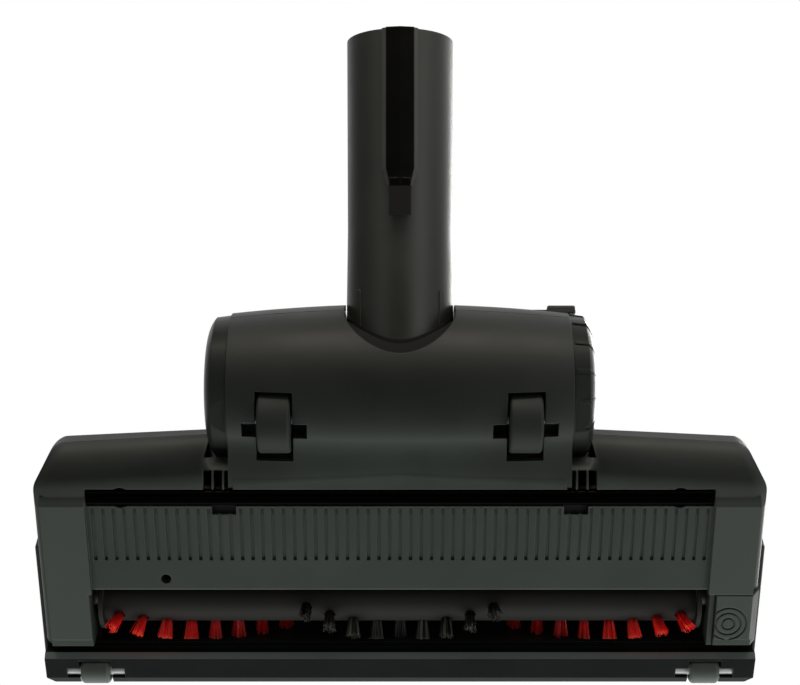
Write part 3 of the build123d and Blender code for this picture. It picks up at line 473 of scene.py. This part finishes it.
# %% Drawn steel
line_scale = (60, 2600, 2600)
stain_scale = 240.0
steel_metallic = 0.7
steel, tree, shader = new_finish("drawn_steel")
coords = put(tree, "ShaderNodeTexCoord").outputs["Object"]
stretched = put(tree, "ShaderNodeMapping", Vector=coords, Scale=line_scale)
lines = put(tree, "ShaderNodeTexNoise", Vector=stretched.outputs[0], Scale=1.0, Detail=3.0).outputs["Fac"]
stain = put(tree, "ShaderNodeTexNoise", Vector=coords, Scale=stain_scale, Detail=2.0).outputs["Fac"]
tone = mix_colours(tree, stain, (0.72, 0.72, 0.72, 1), (0.92, 0.92, 0.91, 1))
scratches = put(tree, "ShaderNodeBump", Strength=0.3, Distance=0.00002, Height=lines)
tree.links.new(tone, shader.inputs["Base Color"])
tree.links.new(remap(tree, lines, (0.0, 1.0), (0.30, 0.50)), shader.inputs["Roughness"])
tree.links.new(scratches.outputs[0], shader.inputs["Normal"])
shader.inputs["Metallic"].default_value = steel_metallic
finishes["drawn_steel"] = steel

# %% [markdown]
# ## Which solid gets which finish
# The lower shell, the hood and the bar come out of different tools, so each has its own texture. The strip and the
# hook are polished. Giving the finish to the object's slot leaves the solid itself untouched.

# %% Dress the solids
worn_by = {
    "sole_satin": ["base_shell", "bearing_cap"],
    "hood_satin": ["top_cover"],
    "bar_satin": ["front_bar"],
    "cap_satin": ["end_cap_left", "end_cap_right"],
    "neck_satin": ["neck_tube"],
    "knob_satin": ["regulator_slider"],
    "lip_gloss": ["sole_lip"],
    "hook_gloss": ["parking_hook"],
    "roller_grey": ["brush_core"],
    "pale_nylon": ["brush_bush_left", "brush_bush_right", "turbine_pulley", "brush_pulley"],
    "inner_grey": ["turbine_rotor"],
    "belt_rubber": ["drive_belt"],
    "tyre_rubber": ["rear_wheel_left", "rear_wheel_right"],
    "roller_rubber": ["front_roller_left", "front_roller_right"],
    "drawn_steel": ["rear_axle_left", "rear_axle_right", "front_axle_left", "front_axle_right", "brush_shaft",
                    "turbine_shaft", "turbine_bearings", "housing_screws"],
}
for finish_name, names in worn_by.items():
    for name in names:
        for slot in solids[name].material_slots:
            slot.material = finishes[finish_name]
print("dressed:", sum(len(names) for names in worn_by.values()), "solids")

# %% [markdown]
# ## The soft run from barrel to sole
# Between and beside the wheels the barrel's skin runs into the sole with hardly a dip. It is made here as a skin: a
# grid is laid over the join, and each of its lines along the head is one smooth curve that leaves the barrel in
# the barrel's own direction and lands flat on the sole. Extruding it upwards into the shell closes it. In front of
# each wheel the skin starts only where the wheel's well ends. The borders are marked sharp, or their shading would
# blend with that of the side walls and draw a seam.

# %% Skin over the join
crown_radius = 0.0325
crown_end = 0.0290
crown_half = 0.0650
leave_at = 0.0082
sole_height = 0.0038
edge_middle = 0.0156
edge_side = 0.0242
head_half = 0.1401
edge_slope = (edge_side - edge_middle) / head_half
edge_round = 0.0078
well_inner = 0.0400
well_outer = 0.0540
well_front = 0.0172
skin_end = 0.0648
skin_sink = 0.00004
skin_thick = 0.0022
skin_rows = 14
flat_enough = 0.7


def run_down(x, share):
    """Front distance and height of the curve from barrel to sole at X, from 0 on the barrel to 1 on the sole."""
    crown = crown_radius - crown_end
    sweep = (crown_half ** 2 + crown ** 2) / (2 * crown)
    barrel = crown_radius - sweep + sqrt(sweep ** 2 - x ** 2)
    depth = sqrt(barrel ** 2 - leave_at ** 2)
    land_at = edge_middle + edge_slope * abs(x) + edge_round
    length = land_at - leave_at
    leaving = (2 * share ** 3 - 3 * share ** 2 + 1) * (tilt_z - depth)
    heading = (share ** 3 - 2 * share ** 2 + share) * length * leave_at / depth
    landing = (3 * share ** 2 - 2 * share ** 3) * sole_height
    return leave_at + share * length, leaving + heading + landing + skin_sink


def join_skin(name, x_from, x_to, columns, start=leave_at):
    """A closed skin over the join between two places along the head, from a front distance onwards."""
    skin = bmesh.new()
    bmesh.ops.create_grid(skin, x_segments=columns, y_segments=skin_rows, size=0.5)
    for corner in skin.verts:
        x = x_from + (corner.co.x + 0.5) * (x_to - x_from)
        first = (start - leave_at) / (run_down(x, 1)[0] - leave_at)
        front, height = run_down(x, first + (1 - first) * (corner.co.y + 0.5))
        corner.co = Vector((x, tilt_y - front, height))
    bmesh.ops.recalc_face_normals(skin, faces=skin.faces)
    grown = bmesh.ops.extrude_face_region(skin, geom=list(skin.faces))
    risen = [item for item in grown["geom"] if isinstance(item, bmesh.types.BMVert)]
    bmesh.ops.translate(skin, verts=risen, vec=(0, 0, skin_thick))
    bmesh.ops.recalc_face_normals(skin, faces=skin.faces)
    for face in skin.faces:
        face.smooth = abs(face.normal.z) > flat_enough
    for border in skin.edges:
        border.smooth = all(face.smooth for face in border.link_faces)
    piece = as_object(name, skin, finishes["join_satin"])
    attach(piece, "housing")
    print(name, "has", len(piece.data.polygons), "faces")


join_skin("join_skin_middle", -well_inner, well_inner, 36)
for side, name in ((1, "left"), (-1, "right")):
    join_skin(f"join_skin_well_{name}", side * well_inner, side * well_outer, 8, well_front)
    join_skin(f"join_skin_{name}", side * well_outer, side * skin_end, 8)

# %% [markdown]
# ## The neck's flared foot
# Where the neck leaves the barrel it widens a little, and that closes the slit between the two. A short profile is
# spun about the neck's own axis, which rises from the barrel's axis at the rest angle.

# %% Flared foot
neck_rise = radians(26.0)
neck_frame = Matrix.Translation((0, tilt_y, tilt_z)) @ Matrix.Rotation(neck_rise - pi / 2, 4, "X")
foot_profile = [(0.0150, 0.0198), (0.0150, 0.02085), (0.0280, 0.02085), (0.0340, 0.02080), (0.0420, 0.02071),
                (0.0520, 0.02060), (0.0620, 0.02050), (0.0620, 0.0198)]
foot_steps = 120
sharp_from = radians(30)
flare = bmesh.new()
rim = [flare.verts.new((radius, 0, along)) for along, radius in foot_profile]
ring = [flare.edges.new((rim[k], rim[(k + 1) % len(rim)])) for k in range(len(rim))]
bmesh.ops.spin(flare, geom=rim + ring, cent=(0, 0, 0), axis=(0, 0, 1), angle=2 * pi, steps=foot_steps,
               use_merge=True)
bmesh.ops.recalc_face_normals(flare, faces=flare.faces)
for face in flare.faces:
    face.smooth = True
for border in flare.edges:
    border.smooth = border.calc_face_angle(0) < sharp_from
bmesh.ops.transform(flare, matrix=neck_frame, verts=flare.verts)
neck_flare = as_object("neck_flare", flare, finishes["foot_satin"])
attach(neck_flare, "neck")
print("flared foot has", len(neck_flare.data.polygons), "faces")

# %% [markdown]
# ## The hook's flanks
# The black bar of the parking hook lies on a slightly wider grey foot, and its sloping flanks frame the bar. The
# foot is painted paler than the neck: a painted highlight on the flanks. Three cross-sections are set along the
# neck, each with the same six corners, and joined by quads. Both ends are capped.

# %% Flanks of the hook
flank_bottom = 0.0190
flank_knee = 0.0216
flank_top = 0.0225
flank_slope = 0.0014
flank_stations = [(0.0755, 0.0046), (0.0825, 0.0070), (0.1368, 0.0070)]
flanks = bmesh.new()
sections = []
for along, half in flank_stations:
    outline = [(-half, flank_bottom), (-half, flank_knee), (flank_slope - half, flank_top),
               (half - flank_slope, flank_top), (half, flank_knee), (half, flank_bottom)]
    sections.append([flanks.verts.new((x, out, along)) for x, out in outline])
for here, there in zip(sections, sections[1:]):
    for k in range(len(here)):
        after = (k + 1) % len(here)
        flanks.faces.new((here[k], here[after], there[after], there[k]))
flanks.faces.new(sections[0])
flanks.faces.new(sections[-1])
bmesh.ops.transform(flanks, matrix=neck_frame, verts=flanks.verts)
bmesh.ops.recalc_face_normals(flanks, faces=flanks.faces)
hook_flanks = as_object("hook_flanks", flanks, finishes["flank_painted_highlight"])
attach(hook_flanks, "neck")
print("hook flanks have", len(hook_flanks.data.polygons), "faces")

# %% [markdown]
# ## Bristle finish
# A filament is coloured nylon, cut at the tip, and the cut end scatters light and looks paler. The distance from
# the roller's axis tells how far along a filament a point lies, at any turn of the roller.

# %% Bristle finishes
core_low, core_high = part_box("brush_core")
roller_axis = (core_low + core_high) / 2
core_radius = 0.0092
tip_radius = 0.0165
body_from, body_to = 0.30, 0.86
strand_scale = 2600.0
strand_shades = (0.80, 1.40)


def bristle(name, root, body, tip, rough):
    """Nylon filament: darker at its root as painted shade among the packed filaments, coloured along its length and
    paler at the cut tip.
    """
    finish, tree, shader = new_finish(name)
    coords = put(tree, "ShaderNodeTexCoord").outputs["Object"]
    reach = distance_from_line(tree, coords, roller_axis.y, roller_axis.z)
    ramp = put(tree, "ShaderNodeValToRGB", Fac=remap(tree, reach, (core_radius, tip_radius)))
    # The root end is painted dark: painted shade deep in the tuft.
    ramp.color_ramp.elements[0].color = root
    ramp.color_ramp.elements[1].color = tip
    ramp.color_ramp.elements.new(body_from).color = body
    ramp.color_ramp.elements.new(body_to).color = body
    strands = put(tree, "ShaderNodeTexNoise", Vector=coords, Scale=strand_scale, Detail=1.0)
    shade = remap(tree, strands.outputs["Fac"], (0.0, 1.0), strand_shades)
    tree.links.new(vector_maths(tree, "SCALE", ramp.outputs["Color"], Scale=shade), shader.inputs["Base Color"])
    shader.inputs["Roughness"].default_value = rough
    return finish


red_nylon = bristle("red_nylon", root=(0.45, 0.010, 0.008, 1), body=(1.0, 0.030, 0.022, 1),
                    tip=(1.0, 0.14, 0.08, 1), rough=0.42)
black_nylon = bristle("black_nylon", root=(0.008, 0.008, 0.007, 1), body=(0.022, 0.021, 0.019, 1),
                      tip=(0.09, 0.086, 0.078, 1), rough=0.38)
print("roller axis at", [round(c, 4) for c in roller_axis])

# %% [markdown]
# ## Bristle tufts
# The solids mark each tuft with a plain tapered bundle. The real thing is a few dozen filaments folded into a hole,
# fanning out towards the tip. Hair particles would do it, but they would not survive as a mesh. So one filament is
# a four-sided cone, a tuft is that filament repeated with seeded chance, and a handful of different tufts are
# planted along the chevron rows.

# %% Filament and tuft
filament_radius = 0.00018
filament_taper = 0.8
filaments_per_tuft = 60
tuft_foot = 0.0017
tuft_fan = 0.0029
foot_depth = 0.0012
tip_scatter = 0.0004
tip_uneven = 0.0004
towards_middle = 0.6
kinds_of_tuft = 6
chance = random.Random(7)


def disc_point(radius):
    """A random point in a disc, denser in the middle."""
    angle = chance.uniform(0, 2 * pi)
    away = radius * chance.uniform(0, 1) ** towards_middle
    return Vector((away * cos(angle), away * sin(angle), 0))


def tuft_mesh(name):
    """A bundle of filaments that stands on the core at Z = 0 and fans out upwards."""
    bundle = bmesh.new()
    for _ in range(filaments_per_tuft):
        foot = disc_point(tuft_foot)
        tip = foot * (tuft_fan / tuft_foot) + disc_point(tip_scatter)
        tip.z = tip_radius - core_radius - tip_uneven * chance.uniform(0, 1)
        foot.z = -foot_depth
        way = tip - foot
        made = bmesh.ops.create_cone(bundle, cap_ends=True, segments=4, radius1=filament_radius,
                                     radius2=filament_radius * filament_taper, depth=way.length)
        stand = Matrix.Translation((foot + tip) / 2) @ way.to_track_quat("Z", "Y").to_matrix().to_4x4()
        bmesh.ops.transform(bundle, matrix=stand, verts=made["verts"])
    mesh = bpy.data.meshes.new(name)
    bundle.to_mesh(mesh)
    bundle.free()
    return mesh


tuft_kinds = [tuft_mesh(f"tuft_kind_{k}") for k in range(kinds_of_tuft)]
print("faces in a tuft:", len(tuft_kinds[0].polygons))

# %% [markdown]
# ## Planting the rows
# The rows wind outwards from the middle in both directions, so that dirt is swept to the centre. Black tufts fill
# the middle on a steep chevron, red ones carry on to the ends on a flatter one, and each row has its twin on the
# other side of the core. Tufts near the ends lean outwards to reach the edges of the slot. The places repeat the
# numbers that the solids were made with: a row's turn is in degrees, its helix in degrees for each metre.

# %% Plant the tufts
tuft_pitch = 0.0092
tufts_in_row = 25
middle_reach = 0.040
twin_turns = (0.0, 180.0)
red_turn, red_helix = -258.0, 1350.0
black_turn, black_helix = -170.0, 2300.0
lean_most = 20.0
lean_from = 0.084
lean_span = 0.026
most_spin = 6.28
row_places = [(k - (tufts_in_row - 1) / 2) * tuft_pitch for k in range(tufts_in_row)]
outer_places = [x for x in row_places if abs(x) > middle_reach]
middle_places = [x for x in row_places if abs(x) < middle_reach]


def stand_on_core(x, turn):
    """Matrix that puts a tuft on the core at X, turned about the axis and leaning near the ends."""
    side = 1 if x > 0 else -1
    lean = side * radians(max(0.0, lean_most * (abs(x) - lean_from) / lean_span))
    on_axis = Matrix.Translation(Vector((x, roller_axis.y, roller_axis.z)))
    about = Matrix.Rotation(radians(turn - 90), 4, "X")
    out_to_skin = Matrix.Translation((0, 0, core_radius))
    tip_over = Matrix.Rotation(lean, 4, "Y")
    spun = Matrix.Rotation(chance.uniform(0, most_spin), 4, "Z")
    return on_axis @ about @ out_to_skin @ tip_over @ spun


def plant(name, places, start, helix, finish, node):
    """One object with both rows of a colour, in place of the plain bundles."""
    field = bmesh.new()
    for twin in twin_turns:
        for x in places:
            before = len(field.verts)
            field.from_mesh(chance.choice(tuft_kinds))
            field.verts.ensure_lookup_table()
            place = stand_on_core(x, start + twin + helix * abs(x))
            bmesh.ops.transform(field, matrix=place, verts=field.verts[before:])
    tufts = as_object(name, field, finish)
    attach(tufts, "brush")
    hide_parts(node)
    print(name, "has", len(tufts.data.polygons), "faces")


plant("red_tufts", outer_places, red_turn, red_helix, red_nylon, "red_bristles")
plant("black_tufts", middle_places, black_turn, black_helix, black_nylon, "black_bristles")

# %% [markdown]
# ## Tidying up
# The spare tuft meshes are removed before the frame is closed.

# %% Remove the spare tuft meshes
for spare in tuft_kinds:
    bpy.data.meshes.remove(spare)
